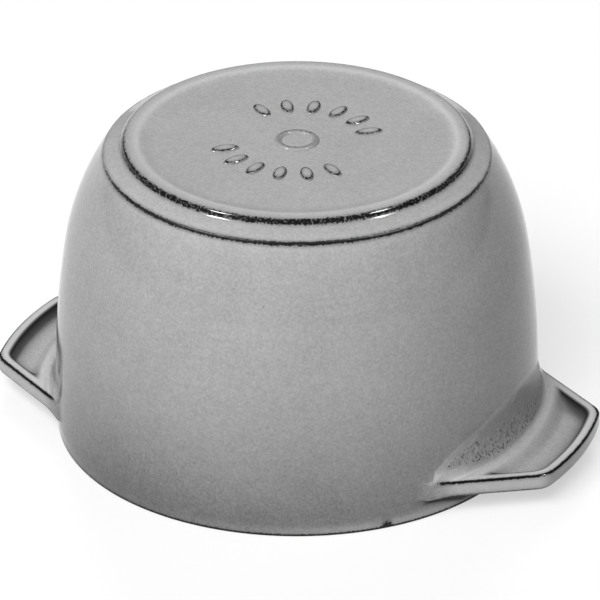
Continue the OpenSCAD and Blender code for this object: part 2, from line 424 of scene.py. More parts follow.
class GlazeSkin:
    """The glaze's outer face at every step round the axis, in rows from the rim to the middle of the base."""

    def __init__(self):
        self.angles, self.off = turn_steps()
        self.wall = wall_r(LUG_TOP)
        self.tip = smooth_max(lug_reach(self.off, 0.0, LUG_CORNER), self.wall, LUG_ROOT_SOFT)
        self.stand = self.tip - self.wall
        self.on_lug = self.standing(LUG_STAND)
        self.fillet = self.rounding(*LUG_FILLET)
        self.edge_top = self.rounding(*LUG_EDGE_TOP)
        self.border = self.tip - self.edge_top
        across = np.sin(np.radians(self.off)) / sin(radians(WEB_HALF_TURN))
        self.arch = np.sqrt(np.clip(1 - across ** 2, 0, None))
        self.ledge_line = eased(self.angles, *LEDGE_LINE)
        self.foot_line = eased(self.angles, *FOOT_LINE)
        self.rows = []
        self.rings = []
        for add in (add_rim, add_lug_border, add_lug_top, add_web, spread_over_wall, add_wall, add_base):
            add(self)

    def standing(self, full_at):
        """Rises from 0 on the plain wall to 1 where a lug stands out from it by a distance."""
        return smooth_step(self.stand / full_at)

    def rounding(self, size, full_at):
        """The size of an edge or fillet, which fades out at a lug's root."""
        return size * self.standing(full_at)

    def at(self, point):
        """A row of points: the radius and the height are each one value, or one for every column."""
        row = np.empty((len(self.off), 2))
        row[:, 0], row[:, 1] = point
        return row

    def on_wall(self, height):
        return self.at((wall_r(height), height))

    def run(self, end, rows):
        """Rows in a straight line from the last row to an end."""
        start, end = self.rows[-1], self.at(end)
        self.rows += [start + (end - start) * i / rows for i in range(1, rows + 1)]

    def bend(self, corner, end, rows):
        """Rows along a quarter ellipse that rounds a corner."""
        start, corner, end = self.rows[-1], self.at(corner), self.at(end)
        for i in range(1, rows + 1):
            t = pi / 2 * i / rows
            self.rows.append(start + (corner - start) * sin(t) + (end - corner) * (1 - cos(t)))

    def mark_ring(self, rows_back, thinness, line=1.0):
        """Marks a ring on which the glaze is thin, along the row that lies some rows back."""
        strength, reach = thinness
        self.rings.append((self.rows[-1 - rows_back][0].copy(), strength * line, reach))


def add_rim(skin):
    """Rows of the glaze's rolled lower edge, then of the wall up to the lug."""
    rim_r = wall_r(RIM_ROUND)
    skin.rows.append(skin.at((rim_r - 0.75, 0.14)))
    skin.run((rim_r - 0.3, 0.05), rows=2)
    skin.bend((rim_r - 0.02, 0.04), (rim_r, 0.45), rows=5)
    skin.mark_ring(3, RIM_THIN)
    skin.run((rim_r, RIM_ROUND + 0.3), rows=2)
    skin.run((skin.wall, LUG_LOW - skin.fillet), rows=5)
    skin.lug_first = len(skin.rows) - 1


def add_lug_border(skin):
    """Rows of a lug's lower face and outer border."""
    tip, root = skin.tip, skin.wall + skin.fillet
    edge_low = skin.rounding(*LUG_EDGE_LOW)
    skin.bend((skin.wall, LUG_LOW), (root, LUG_LOW), rows=5)
    skin.run((np.maximum(tip - edge_low, root), LUG_LOW), rows=6)
    skin.bend((tip, LUG_LOW), (tip, LUG_LOW + edge_low), rows=6)
    skin.run((tip, LUG_TOP - skin.edge_top), rows=4)
    skin.bend((tip, LUG_TOP), (skin.border, LUG_TOP), rows=7)


def lug_stops(skin):
    """Radii on a lug's top: the border, the pocket's two edges, the ridge's two edges and the web's foot."""
    lip = lug_reach(skin.off, POCKET_BORDER, POCKET_CORNER)
    web_foot = smooth_min(BELLY_R + WEB_OUT, skin.border, WEB_BLEND)
    stops = [skin.border, lip + POCKET_LIP, lip - POCKET_FOOT]
    stops += [RIDGE_R + RIDGE_RUN, RIDGE_R - RIDGE_BACK, web_foot]
    least = (skin.border - web_foot) * LEAST_STEP
    for k in range(1, len(stops) - 1):
        stops[k] = np.minimum(stops[k], stops[k - 1] - least)
    for k in range(len(stops) - 2, 0, -1):
        stops[k] = np.maximum(stops[k], stops[k + 1] + least)
    return stops


def add_lug_top(skin):
    """Rows of a lug's top: crowned border, pocket wall, pocket floor and ridge."""
    first = len(skin.rows)
    for stop, rows in zip(lug_stops(skin)[1:], (8, 11, 10, 10, 5)):
        skin.run((stop, LUG_TOP), rows)
    radius = np.array(skin.rows[first:])[:, :, 0]
    depth, dark = pocket_depth(skin.off, radius)
    across = np.clip(inside_lug(skin.off, radius, 0.0, LUG_CORNER_SOFT) / POCKET_BORDER, 0, 1)
    crown = BORDER_CROWN * (2 * across - 1) ** 2 * smooth_step((radius - RIDGE_R) / RIDGE_RUN)
    for row, drop in zip(skin.rows[first:], (depth + crown) * skin.on_lug):
        row[:, 1] -= drop
    skin.pocket = slice(first, len(skin.rows))
    # Painted shade on the pocket's outer wall, kept for the glaze's looks
    skin.pocket_dark = dark * skin.on_lug
    skin.pocket_share = depth / POCKET_DEEP * skin.on_lug


def add_web(skin):
    """Rows of the web from the ridge up to the wall: hollow in section, an arch from outside."""
    skin.rows[-1][:, 1] = LUG_TOP
    skin.web_first = len(skin.rows)
    web_high = (WEB_RISE * skin.arch + WEB_COVER) * skin.standing(LUG_START)
    fade_at = WEB_FADE_END + (WEB_FADE_MIDDLE - WEB_FADE_END) * skin.arch
    for share in np.arange(1, WEB_ROWS + 1) / WEB_ROWS:
        height = LUG_TOP + web_high * share ** WEB_ROW_CURVE
        left = np.clip(1 - (height - LUG_TOP) / WEB_RISE, 0, 1)
        hollow = BELLY_R + WEB_OUT - (WEB_OUT + WEB_SINK) * np.sqrt(1 - left ** 2)
        wall = wall_r(height)
        face = smooth_max(smooth_min(hollow, skin.border, WEB_BLEND), wall, WEB_WALL_BLEND)
        stays = 1 - smooth_step((share - fade_at) / (1 - fade_at))
        skin.rows.append(skin.at((wall + (face - wall) * stays, height)))
    skin.lug_last = len(skin.rows) - 1


def spread_over_wall(skin):
    """Spreads the lugs' rows over the plain wall, away from the lugs."""
    count = skin.lug_last - skin.lug_first + 1
    keep = skin.standing(LUG_START)[:, None]
    for row, height in enumerate(np.linspace(LUG_LOW, LUG_TOP + LUG_SPREAD, count), skin.lug_first):
        plain = skin.on_wall(height)
        skin.rows[row] = plain + (skin.rows[row] - plain) * keep


def add_wall(skin):
    """Rows of the wall and shoulder up to the ledge."""
    low = skin.rows[-1][:, 1]
    for t in np.linspace(0, 1, WALL_ROWS + 1)[1:]:
        height = low + (LEDGE_LOW[1] - low) * (1 - (1 - t) ** WALL_ROW_CURVE)
        skin.rows.append(skin.on_wall(height))


def add_base(skin):
    """Rows of the ledge, the sloping band, the foot ring and the hollow of the base."""
    riser = np.array([FOOT_R + FOOT_DRAFT, POT_H - FOOT_RISE])
    inner = FOOT_R - FOOT_W
    skin.bend(LEDGE_HIGH + [0.05, 0.1], LEDGE_HIGH + [-0.4, 0.18], rows=6)
    skin.mark_ring(4, LEDGE_THIN, skin.ledge_line)
    skin.run(riser + [0.9, -0.41], rows=6)
    skin.bend(riser, riser + [-0.15, 0.6], rows=6)
    skin.run((FOOT_R + 0.08, POT_H - 0.9), rows=2)
    skin.mark_ring(0, FOOT_THIN, skin.foot_line)
    skin.bend((FOOT_R, POT_H), (FOOT_R - 1.2, POT_H), rows=9)
    skin.mark_ring(6, FOOT_THIN, skin.foot_line)
    skin.run((inner + 0.6, POT_H), rows=4)
    skin.bend((inner - 0.4, POT_H), (inner - 1.4, POT_H - 0.3), rows=5)
    skin.foot_lip = skin.rows[-3][0].copy()
    skin.bend((inner - 2.9, BASE_Z), (inner - 5.2, BASE_Z), rows=5)
    skin.run((BASE_MIDDLE_R, BASE_Z), rows=7)


def edge_looks(skin, grid):
    """How thin the glaze is over its edges, how pale beside them and towards the rim, with painted light on
    the lugs and by the rim.
    """
    radius, height = grid[:, :, 0], grid[:, :, 1]
    gaps = [(gap_to(grid, ring), strength, reach) for ring, strength, reach in skin.rings]
    lug_plan = inside_lug(skin.off, radius, 0.0, LUG_CORNER_SOFT)
    for edge, side, (strength, reach, inset) in ((LUG_TOP, 1, LUG_TOP_THIN), (LUG_LOW, -1, LUG_LOW_THIN)):
        gap = np.hypot(lug_plan - inset, height - edge + side * inset)
        gaps.append((gap, strength * skin.standing(LUG_LINE_STAND), reach))
    thin = np.max([mark(gap, strength, reach) for gap, strength, reach in gaps], axis=0)
    pale = np.max([mark(gap, strength, PALE_REACH) for gap, strength, reach in gaps], axis=0)
    chip = np.hypot(np.radians(skin.angles - CHIP_AT) * BELLY_R, height - RIM_ROUND)
    thin = np.maximum(thin, mark(chip, *CHIP_THIN))
    off_wall = smooth_step((radius - BELLY_R) / OFF_WALL)
    toward_rim = np.clip(1 - height / RIM_FADE, 0, None) ** RIM_FADE_CURVE * (1 - off_wall)
    uneven = 1 + RIM_LEAN * np.cos(np.radians(skin.angles - RIM_LEAN_AT))
    # A painted reflection in a band just above the rim, strongest on one side
    lit = np.clip(np.cos(np.radians(skin.angles - RIM_PALE_AT)), 0, None) ** 2
    at_rim = mark(height - RIM_ROUND, *RIM_PALE) * (1 - off_wall)
    # Paler beside the edges, with painted light on the lugs and the painted reflection at the rim
    pale = PALE_GAIN * pale + LUG_PALE * off_wall + lit * at_rim
    return thin, pale - RIM_LOSS * uneven * toward_rim


def add_web_looks(skin, grid, pale, rough):
    """Makes the web rough, and paints light on it: over the rough part, along the lip at its top, and at its
    roots.
    """
    web = slice(skin.web_first - 4, skin.lug_last + 1)
    at_end = smooth_step((skin.off - WEB_END_AT) / WEB_END_TURN)
    above = grid[web, :, 1] - (LUG_TOP + WEB_END_FOOT * at_end)
    below = LUG_TOP + WEB_RISE * skin.arch ** WEB_TOP_CURVE + WEB_END_RISE * at_end - grid[web, :, 1]
    over_ridge = smooth_step((above + WEB_START[0]) / WEB_START[1])
    under_top = smooth_step((below + WEB_STOP[0]) / WEB_STOP[1])
    rough[web] = over_ridge * under_top * (1 - WEB_EASE * above / WEB_RISE) * skin.on_lug
    # Painted light on the rough web and along its lip, then at its roots
    pale[web] += (mark(below, *WEB_LIP_PALE) + WEB_PALE * rough[web]) * over_ridge * skin.on_lug
    pale[web] += ROOT_PALE * (1 - over_ridge) * at_end * skin.on_lug


def glaze_looks(skin, grid):
    """How thin, pale and rough the glaze is over its outer face, and its painted shade; the paleness holds
    painted light.
    """
    thin, pale = edge_looks(skin, grid)
    # Painted light on the foot ring's inner lip
    pale += mark(gap_to(grid, skin.foot_lip), *FOOT_LIP_PALE)
    # Painted light taken off again in each pocket, by its depth
    pale[skin.pocket] -= POCKET_LOSS * skin.pocket_share
    painted_shade = np.zeros(thin.shape)
    # Painted shade on each pocket's outer wall
    painted_shade[skin.pocket] = skin.pocket_dark
    # Painted shade on the wall just under each lug and in the crease at its root, reaching lower where the
    # lug stands further out
    under = slice(skin.lug_first - 5, skin.lug_first + 6)
    crease_foot = LUG_LOW - CREASE_DROP - CREASE_LEAN * np.clip(skin.stand, 0, CREASE_REACH)
    painted_shade[under] = skin.standing(CREASE_STAND) * smooth_step(grid[under, :, 1] - crease_foot)
    rough = mark(gap_to(grid, LEDGE_HIGH), *LEDGE_ROUGH) * skin.ledge_line
    add_web_looks(skin, grid, pale, rough)
    return {"thin": thin, "pale": pale, "painted_shade": painted_shade, "rough": rough}


def back_rows(columns):
    """The glaze's back, against the iron, from the middle of the base down to the rim."""
    back_z = BASE_Z - COAT_T
    path = [(BASE_MIDDLE_R, back_z), (FOOT_R - FOOT_W - 0.7, back_z), (FOOT_R - COAT_T, POT_H - COAT_T)]
    path += [(FOOT_R - 0.1, POT_H - FOOT_RISE - COAT_T), tuple(LEDGE_HIGH - 0.35)]
    path += [(wall_r(z, COAT_T), z) for z in np.linspace(LEDGE_LOW[1] - 0.8, RIM_ROUND, 10)]
    return np.repeat(np.array(path)[:, None, :], columns, axis=1)


def add_lumps(vertices, rough, turn):
    """Moves the points of rough glaze out by the lumps of the casting under it."""
    outward = np.stack([np.cos(turn), np.sin(turn), np.full(len(turn), LUMP_LIFT)], axis=1)
    for row, column in zip(*np.nonzero(rough > ROUGH_LEAST)):
        place = Vector(vertices[row, column])
        lump = sum(share * noise.noise(place / size) for size, share in LUMP_SIZES)
        vertices[row, column] += outward[column] * (ROUGH_LUMP * rough[row, column] * lump)


def skin_faces(outer_rows, rows, columns):
    """Faces of a closed skin: quads from row to row, and a fan in the middle of each side."""
    here = np.arange(rows * columns).reshape(rows, columns)
    ahead = np.roll(here, -1, axis=1)
    quads = np.stack([here, ahead, np.roll(ahead, -1, axis=0), np.roll(here, -1, axis=0)], axis=2)
    top = outer_rows - 1
    faces = np.delete(quads, top, axis=0).reshape(-1, 4).tolist()
    outer_middle, back_middle = rows * columns, rows * columns + 1
    for first, second in zip(here[top].tolist(), ahead[top].tolist()):
        faces.append((first, second, outer_middle))
        faces.append((second + columns, first + columns, back_middle))
    return faces


def pot_glaze(finish):
    """The grey coat of the pot, lugs included, as one closed skin."""
    skin = GlazeSkin()
    outer = np.array(skin.rows)
    looks = glaze_looks(skin, outer)
    columns = len(skin.angles)
    grid = np.vstack([outer, back_rows(columns)])
    turn = np.radians(skin.angles)
    vertices = np.stack([grid[:, :, 0] * np.cos(turn), grid[:, :, 0] * np.sin(turn), grid[:, :, 1]], axis=2)
    add_lumps(vertices, looks["rough"], turn)
    points = np.vstack([vertices.reshape(-1, 3), [(0, 0, BASE_Z), (0, 0, BASE_Z - COAT_T)]])
    piece = mesh_object("pot_glaze", points, skin_faces(len(outer), len(grid), columns))
    for name, values in looks.items():
        set_attribute(piece.data, name, np.append(values, np.zeros(len(points) - values.size)))
    piece.data.materials.append(finish)
    return piece


# Node trees

class Tree:
    """A node tree under construction."""

    def __init__(self, tree):
        self.tree = tree

    def feed(self, socket, value):
        """Links an output to a socket, or sets the socket's own value."""
        if isinstance(value, bpy.types.NodeSocket):
            self.tree.links.new(value, socket)
        else:
            socket.default_value = value

    def feed_all(self, node, inputs):
        """Feeds a node's inputs by their names, with an underscore for each space."""
        for name, value in inputs.items():
            self.feed(node.inputs[name.replace("_", " ")], value)

    def node(self, kind, settings=None, **inputs):
        node = self.tree.nodes.new(kind)
        for key, value in (settings or {}).items():
            setattr(node, key, value)
        self.feed_all(node, inputs)
        return node

    def math(self, operation, *values):
        node = self.node("ShaderNodeMath", {"operation": operation})
        for socket, value in zip(node.inputs, values):
            self.feed(socket, value)
        return node.outputs[0]


class Group(Tree):
    """A node group with named inputs and outputs, each given with its kind."""

    def __init__(self, name, kind, inputs, outputs):
        super().__init__(bpy.data.node_groups.new(name, kind))
        for side, sockets in (("INPUT", inputs), ("OUTPUT", outputs)):
            for socket, socket_kind in sockets.items():
                self.tree.interface.new_socket(socket, in_out=side, socket_type="NodeSocket" + socket_kind)
        self.given = self.node("NodeGroupInput").outputs

    def end(self, **results):
        self.node("NodeGroupOutput", **results)
        return self.tree


class GrowingTree(Group):
    """A geometry tree that gives one piece in one finish."""

    def __init__(self, name, inputs):
        super().__init__(name, "GeometryNodeTree", {**inputs, "Finish": "Material"}, {"Piece": "Geometry"})

    def vector(self, **parts):
        return self.node("ShaderNodeCombineXYZ", **parts).outputs[0]

    def parts(self, vector):
        return self.node("ShaderNodeSeparateXYZ", Vector=vector).outputs

    def position(self):
        return self.node("GeometryNodeInputPosition").outputs[0]

    def sampled(self, kind, profile, value, index):
        """A value of some kind, read at a point of a profile."""
        settings = {"data_type": kind, "domain": "POINT"}
        there = self.node("GeometryNodeSampleIndex", settings, Geometry=profile, Value=value, Index=index)
        return there.outputs[0]

    def changed(self, kind, geometry, settings=None, **inputs):
        """Geometry as a node of some kind leaves it."""
        return self.node("GeometryNode" + kind, settings, Geometry=geometry, **inputs).outputs["Geometry"]

    def turned(self, profile, points, segments):
        """A profile of radius and height turned about the axis, with its thinness kept."""
        sheet = self.node("GeometryNodeMeshGrid", Size_X=1.0, Size_Y=1.0, Vertices_Y=points,
                          Vertices_X=self.math("ADD", segments, 1))
        place = self.parts(self.position())
        angle = self.math("MULTIPLY", self.math("ADD", place["X"], 0.5), 2 * pi)
        share = self.math("ADD", place["Y"], 0.5)
        index = self.math("ROUND", self.math("MULTIPLY", share, self.math("SUBTRACT", points, 1)))
        outline = self.parts(self.sampled("FLOAT_VECTOR", profile, self.position(), index))
        turned = self.vector(X=self.math("MULTIPLY", outline["X"], self.math("COSINE", angle)),
                             Y=self.math("MULTIPLY", outline["X"], self.math("SINE", angle)), Z=outline["Z"])
        thin = self.node("GeometryNodeInputNamedAttribute", {"data_type": "FLOAT"}, Name="thin")
        thin_there = self.sampled("FLOAT", profile, thin.outputs["Attribute"], index)
        stored = self.changed("StoreNamedAttribute", sheet.outputs["Mesh"],
                              {"data_type": "FLOAT", "domain": "POINT"}, Name="thin", Value=thin_there)
        put = self.changed("SetPosition", stored, Position=turned)
        return self.changed("MergeByDistance", put, Distance=SEAM_GAP * MM)

    def turned_object(self, name, segments):
        """The outline of another object, which an input names, turned about the axis."""
        info = self.node("GeometryNodeObjectInfo", Object=self.given[name])
        return self.turned(info.outputs["Geometry"], self.given[name + " Points"], segments)

    def joined(self, parts):
        join = self.node("GeometryNodeJoinGeometry")
        for part in parts:
            self.feed(join.inputs[0], part)
        return join.outputs["Geometry"]

    def finished(self, geometry):
        """Ends the tree: smooth faces, instances made real, and the finish set."""
        real = self.changed("RealizeInstances", self.changed("SetShadeSmooth", geometry))
        return self.end(Piece=self.changed("SetMaterial", real, Material=self.given["Finish"]))


TURNED_INPUTS = {"Outline": "Geometry", "Points": "Int", "Segments": "Int"}


def turning_tree():
    """Turns an outline about the axis into a closed piece."""
    tree = GrowingTree("turned_piece", TURNED_INPUTS)
    return tree.finished(tree.turned(*(tree.given[name] for name in TURNED_INPUTS)))


def spiked_tree():
    """Turns the lid's underside and sets rings of turned spikes on it, each ring at its own height."""
    inputs = {**TURNED_INPUTS, "Spike": "Object", "Spike Points": "Int"}
    rings = [f"Ring {number} " for number in range(1, len(SPIKE_RINGS) + 1)]
    for ring in rings:
        inputs |= {ring + "Radius": "Float", ring + "Height": "Float", ring + "Count": "Int"}
    tree = GrowingTree("spiked_underside", inputs)
    given = tree.given
    parts = [tree.turned(*(given[name] for name in TURNED_INPUTS))]
    spike = tree.turned_object("Spike", SPIKE_SEGMENTS)
    for ring in rings:
        radius, height, count = (given[ring + name] for name in ("Radius", "Height", "Count"))
        circle = tree.node("GeometryNodeMeshCircle", Vertices=count, Radius=radius)
        lifted = tree.changed("SetPosition", circle.outputs["Mesh"], Offset=tree.vector(Z=height))
        spikes = tree.node("GeometryNodeInstanceOnPoints", Points=lifted, Instance=spike)
        parts.append(spikes.outputs["Instances"])
    return tree.finished(tree.joined(parts))


def ornament_tree():
    """Sets turned grains along two arcs, each grain pointing at the middle, and a turned ring inside them."""
    inputs = {"Grain": "Geometry", "Ring": "Object"}
    inputs |= dict.fromkeys(("Grain Points", "Ring Points", "Count"), "Int")
    inputs |= dict.fromkeys(("Length", "Width", "Arc Radius", "Arc Span", "Height"), "Float")
    tree = GrowingTree("grain_ornament", inputs)
    given = tree.given
    grain = tree.turned(given["Grain"], given["Grain Points"], GRAIN_SEGMENTS)
    drawn = tree.changed("Transform", grain, Scale=tree.vector(X=given["Length"], Y=given["Width"], Z=1.0))
    place = tree.parts(tree.position())
    heading = tree.vector(Z=tree.math("ARCTAN2", place["Y"], place["X"]))
    facing = tree.node("FunctionNodeEulerToRotation", Euler=heading).outputs[0]
    parts = [tree.turned_object("Ring", MARK_RING_SEGMENTS)]
    for middle in (pi / 2, 3 * pi / 2):
        start = tree.math("SUBTRACT", middle, tree.math("DIVIDE", given["Arc Span"], 2))
        bow = tree.node("GeometryNodeCurveArc", {"mode": "RADIUS"}, Resolution=given["Count"],
                        Radius=given["Arc Radius"], Start_Angle=start, Sweep_Angle=given["Arc Span"])
        dots = tree.node("GeometryNodeCurveToPoints", {"mode": "EVALUATED"}, Curve=bow.outputs["Curve"])
        grains = tree.node("GeometryNodeInstanceOnPoints", Points=dots.outputs["Points"], Instance=drawn,
                           Rotation=facing)
        parts.append(grains.outputs["Instances"])
    raised = tree.vector(Z=given["Height"])
    return tree.finished(tree.changed("Transform", tree.joined(parts), Translation=raised))


def grown(obj, tree, **inputs):
    """Runs a geometry tree on an object and leaves the result as its plain mesh."""
    modifier = obj.modifiers.new("grow", "NODES")
    modifier.node_group = tree
    names = {item.name: item.identifier for item in tree.interface.items_tree if item.in_out == "INPUT"}
    for name, value in inputs.items():
        modifier[names[name.replace("_", " ")]] = value
    graph = bpy.context.evaluated_depsgraph_get()
    shaped = obj.evaluated_get(graph)
    mesh = bpy.data.meshes.new_from_object(shaped, preserve_all_data_layers=True, depsgraph=graph)
    obj.modifiers.remove(modifier)
    obj.data = mesh
    return obj


def turned_piece(name, tree, path, finish, thin=0.0, segments=TURN_SEGMENTS, **inputs):
    """A piece turned from its outline, which runs anticlockwise with the radius to the right."""
    obj = outline_object(name, path, thin)
    return grown(obj, tree, Points=len(path), Segments=segments, Finish=finish, **inputs)


# Finishes

# How fast ragged breaks set in as the glaze thins, over what range, and the share of cells with a pinhole
BREAK_ONSET = 2.5
BREAK_RANGE = 0.3
PINHOLE_SHARE = 0.28

# Grey enamel: tone, mottling and what paleness adds to it, roughness, and what the rough casting adds
ENAMEL_TONE = 0.34
MOTTLE_DEPTH = 0.65
MOTTLE_PALE = -0.9
GLOSS_ROUGHNESS = 0.09
CRAG_ROUGHNESS = 0.34
CRAG_SHARE = 2.5


def grey(level):
    return (level, level, level, 1.0)


class FinishGroup(Group):
    """A shader group of values that depend on a place."""

    def __init__(self, name, inputs, outputs):
        kinds = {"Place": "Vector", **dict.fromkeys(inputs, "Float")}
        super().__init__(name, "ShaderNodeTree", kinds, dict.fromkeys(outputs, "Float"))
        self.values = [self.given[value] for value in inputs]

    def noise(self, scale, detail=2.0):
        node = self.node("ShaderNodeTexNoise", Vector=self.given["Place"], Scale=scale, Detail=detail)
        return node.outputs[0]

    def step(self, value, start, end):
        """Rises smoothly from 0 to 1 as a value goes from a start to an end."""
        settings = {"interpolation_type": "SMOOTHSTEP"}
        return self.node("ShaderNodeMapRange", settings, Value=value, From_Min=start, From_Max=end).outputs[0]


def glaze_break():
    """A group that says where thin glaze breaks, along a ragged line."""
    tree = FinishGroup("glaze_break", ("Thin", "Grain", "Ragged", "Start"), ("Mask",))
    thin, grain, ragged, start = tree.values
    shift = tree.math("MULTIPLY", tree.math("SUBTRACT", tree.noise(grain), 0.5), ragged)
    near = tree.math("MINIMUM", tree.math("MULTIPLY", thin, BREAK_ONSET), 1.0)
    shifted = tree.math("ADD", thin, tree.math("MULTIPLY", shift, near))
    return tree.end(Mask=tree.step(shifted, start, tree.math("ADD", start, BREAK_RANGE)))


def glaze_mottle():
    """A group with cloudy changes of tone on three scales and, in some cells, a pinhole."""
    tree = FinishGroup("glaze_mottle", ("Depth",), ("Tone", "Pinholes"))
    tone = 1.0
    for scale, share in ((55.0, 0.3), (420.0, 0.3), (1500.0, 0.9)):
        cloud = tree.noise(scale, detail=3.0)
        sway = tree.math("MULTIPLY", tree.math("SUBTRACT", cloud, 0.5), share)
        tone = tree.math("MULTIPLY_ADD", sway, tree.given["Depth"], tone)
    cells = tree.node("ShaderNodeTexVoronoi", Vector=tree.given["Place"], Scale=260.0).outputs
    chance = tree.node("ShaderNodeSeparateColor", Color=cells["Color"]).outputs[0]
    hole = tree.step(cells["Distance"], start=0.07, end=0.03)
    holed = tree.math("GREATER_THAN", chance, 1 - PINHOLE_SHARE)
    return tree.end(Tone=tone, Pinholes=tree.math("MULTIPLY", hole, holed))


def melt_ripple():
    """A group with the height of coarse ripples and of a share of fine ones."""
    tree = FinishGroup("melt_ripple", ("Coarse", "Fine", "Fine Share"), ("Height",))
    coarse, fine, share = tree.values
    return tree.end(Height=tree.math("MULTIPLY_ADD", tree.noise(fine), share, tree.noise(coarse)))


class Finish(Tree):
    """A material under construction around one Principled shader."""

    def __init__(self, name, **constants):
        self.material = bpy.data.materials.new(name)
        self.material.use_nodes = True
        super().__init__(self.material.node_tree)
        self.shader = self.tree.nodes["Principled BSDF"]
        self.shade(**constants)

    def shade(self, **inputs):
        self.feed_all(self.shader, inputs)

    def place(self):
        return self.node("ShaderNodeTexCoord").outputs["Object"]

    def group(self, tree, **inputs):
        return self.node("ShaderNodeGroup", {"node_tree": tree}, Place=self.place(), **inputs).outputs

    def attribute(self, name):
        return self.node("ShaderNodeAttribute", {"attribute_name": name}).outputs["Fac"]

    def mix(self, factor, a, b, blend="MIX"):
        node = self.node("ShaderNodeMix", {"data_type": "RGBA", "blend_type": blend})
        for socket, value in ((node.inputs[0], factor), (node.inputs[6], a), (node.inputs[7], b)):
            self.feed(socket, value)
        return node.outputs[2]

    def tint(self, colour, tone, gloss, sway, roughness):
        """Multiplies a colour by a tone, and lets a value sway the roughness."""
        self.shade(Base_Color=self.mix(1.0, colour, tone, "MULTIPLY"),
                   Roughness=self.math("MULTIPLY_ADD", gloss, sway, roughness))

    def bump(self, height, strength, relief):
        """Lets a height shape the light on the surface, with its relief in millimetres."""
        bump = self.node("ShaderNodeBump", Strength=strength, Distance=relief * MM, Height=height)
        self.shade(Normal=bump.outputs[0])


def grey_enamel(broken, mottle, ripple):
    """Glossy grey enamel: pale beside sharp edges, near black over them, dull on the rough casting, with
    painted light and painted shade in its tone.
    """
    finish = Finish("grey_enamel", IOR=1.32)
    thin, pale, painted_shade, rough = (finish.attribute(name) for name in ("thin", "pale", "painted_shade", "rough"))
    spots = finish.group(mottle, Depth=finish.math("MULTIPLY_ADD", pale, MOTTLE_PALE, MOTTLE_DEPTH))
    edge = finish.group(broken, Thin=thin, Grain=1700.0, Ragged=1.45, Start=0.6)
    grit = finish.group(broken, Thin=rough, Grain=1400.0, Ragged=2.2, Start=0.95)
    # Paleness, which holds painted light, lightens or darkens the mottled tone
    level = finish.math("MULTIPLY", spots["Tone"], finish.math("ADD", pale, 1.0))
    tone = finish.mix(1.0, grey(ENAMEL_TONE), level, "MULTIPLY")
    # What darkens the tone, painted shade among it: each mask with its share and its level of grey
    marks = ((spots["Pinholes"], 0.6, 0.06), (grit["Mask"], 0.8, 0.05), (thin, 0.68, 0.03),
             (painted_shade, 0.99, 0.004), (edge["Mask"], 0.97, 0.004))
    for mask, share, dark in marks:
        tone = finish.mix(finish.math("MULTIPLY", mask, share), tone, grey(dark))
    dull = finish.math("MULTIPLY_ADD", rough, CRAG_ROUGHNESS, GLOSS_ROUGHNESS)
    finish.shade(Base_Color=tone, Roughness=dull)
    wave = finish.group(ripple, Coarse=150.0, Fine=1300.0, Fine_Share=0.1)["Height"]
    crag = finish.group(ripple, Coarse=900.0, Fine=2200.0, Fine_Share=0.6)["Height"]
    height = finish.math("MULTIPLY_ADD", finish.math("MULTIPLY", rough, CRAG_SHARE), crag, wave)
    finish.bump(height, strength=0.5, relief=0.12)
    return finish.material


def black_enamel(mottle, ripple):
    """Matt black enamel with a fine rough grain."""
    finish = Finish("matt_black_enamel", IOR=1.5)
    tone = finish.group(mottle, Depth=0.6)["Tone"]
    finish.tint(grey(0.02), tone, tone, sway=0.25, roughness=0.3)
    grain = finish.group(ripple, Coarse=900.0, Fine=2600.0, Fine_Share=0.7)["Height"]
    finish.bump(grain, strength=0.6, relief=0.2)
    return finish.material


def bare_iron(mottle, ripple):
    """Dark cast iron, ground at the rim."""
    finish = Finish("bare_iron", Metallic=0.7, IOR=1.5)
    tone = finish.group(mottle, Depth=0.8)["Tone"]
    finish.tint(grey(0.045), tone, tone, sway=0.2, roughness=0.35)
    grain = finish.group(ripple, Coarse=700.0, Fine=2400.0, Fine_Share=0.5)["Height"]
    finish.bump(grain, strength=0.4, relief=0.2)
    return finish.material


def metal(name, mottle, colour, roughness):
    """Turned metal: fine rings round the axis in its roughness and relief."""
    finish = Finish(name, Metallic=1.0)
    tone = finish.group(mottle, Depth=0.12)["Tone"]
    rings = finish.node("ShaderNodeTexWave", {"wave_type": "RINGS", "rings_direction": "Z"},
                        Vector=finish.place(), Scale=900.0, Distortion=1.5).outputs["Fac"]
    finish.tint(colour, tone, rings, sway=0.07, roughness=roughness)
    finish.bump(rings, strength=0.12, relief=0.04)
    return finish.material


# Pieces

def rim_and_inside():
    """The face of the pot's inside from the rim to the middle of its floor."""
    bead_a = degrees(asin((BEAD_END_Z - BELLY_Z) / (BELLY_CURVE - WALL_T)))
    reach = SHOULDER_CURVE - WALL_T - CORNER_CURVE
    corner_a = degrees(asin((FLOOR_Z - CORNER_CURVE - SHOULDER_C[1]) / reach))
    corner_c = SHOULDER_C + reach * unit(corner_a)
    return np.vstack([
        [(MOUTH_R, RIM_ROUND), (MOUTH_R, SEAT_DEEP), (SEAT_R, SEAT_DEEP), (SEAT_R, SEAT_DEEP + BEAD_H)],
        arc(BELLY_C, BELLY_CURVE - WALL_T, bead_a, SHOULDER_A, 16),
        arc(SHOULDER_C, SHOULDER_CURVE - WALL_T, SHOULDER_A + 1, corner_a, 14),
        arc(corner_c, CORNER_CURVE, corner_a + 3, 90, 14),
        [(FLOOR_R, FLOOR_Z), (0, FLOOR_Z)],
    ])


def pot_lining(tree, finish):
    """The pot's black inside."""
    face = softened(rim_and_inside(), radius=0.5)
    back = moved(rim_and_inside(), -LINING_T)
    return turned_piece("pot_lining", tree, np.vstack([face[:1], back, face[::-1]]), finish)


def dome_angle(radius, curve):
    """Angle at which an arc about the dome's centre reaches a radius."""
    return degrees(acos(radius / curve))


def under_z(radius):
    """Height of the dome's underside at a radius."""
    return DOME_C[1] + sqrt(UNDER_CURVE ** 2 - radius ** 2)


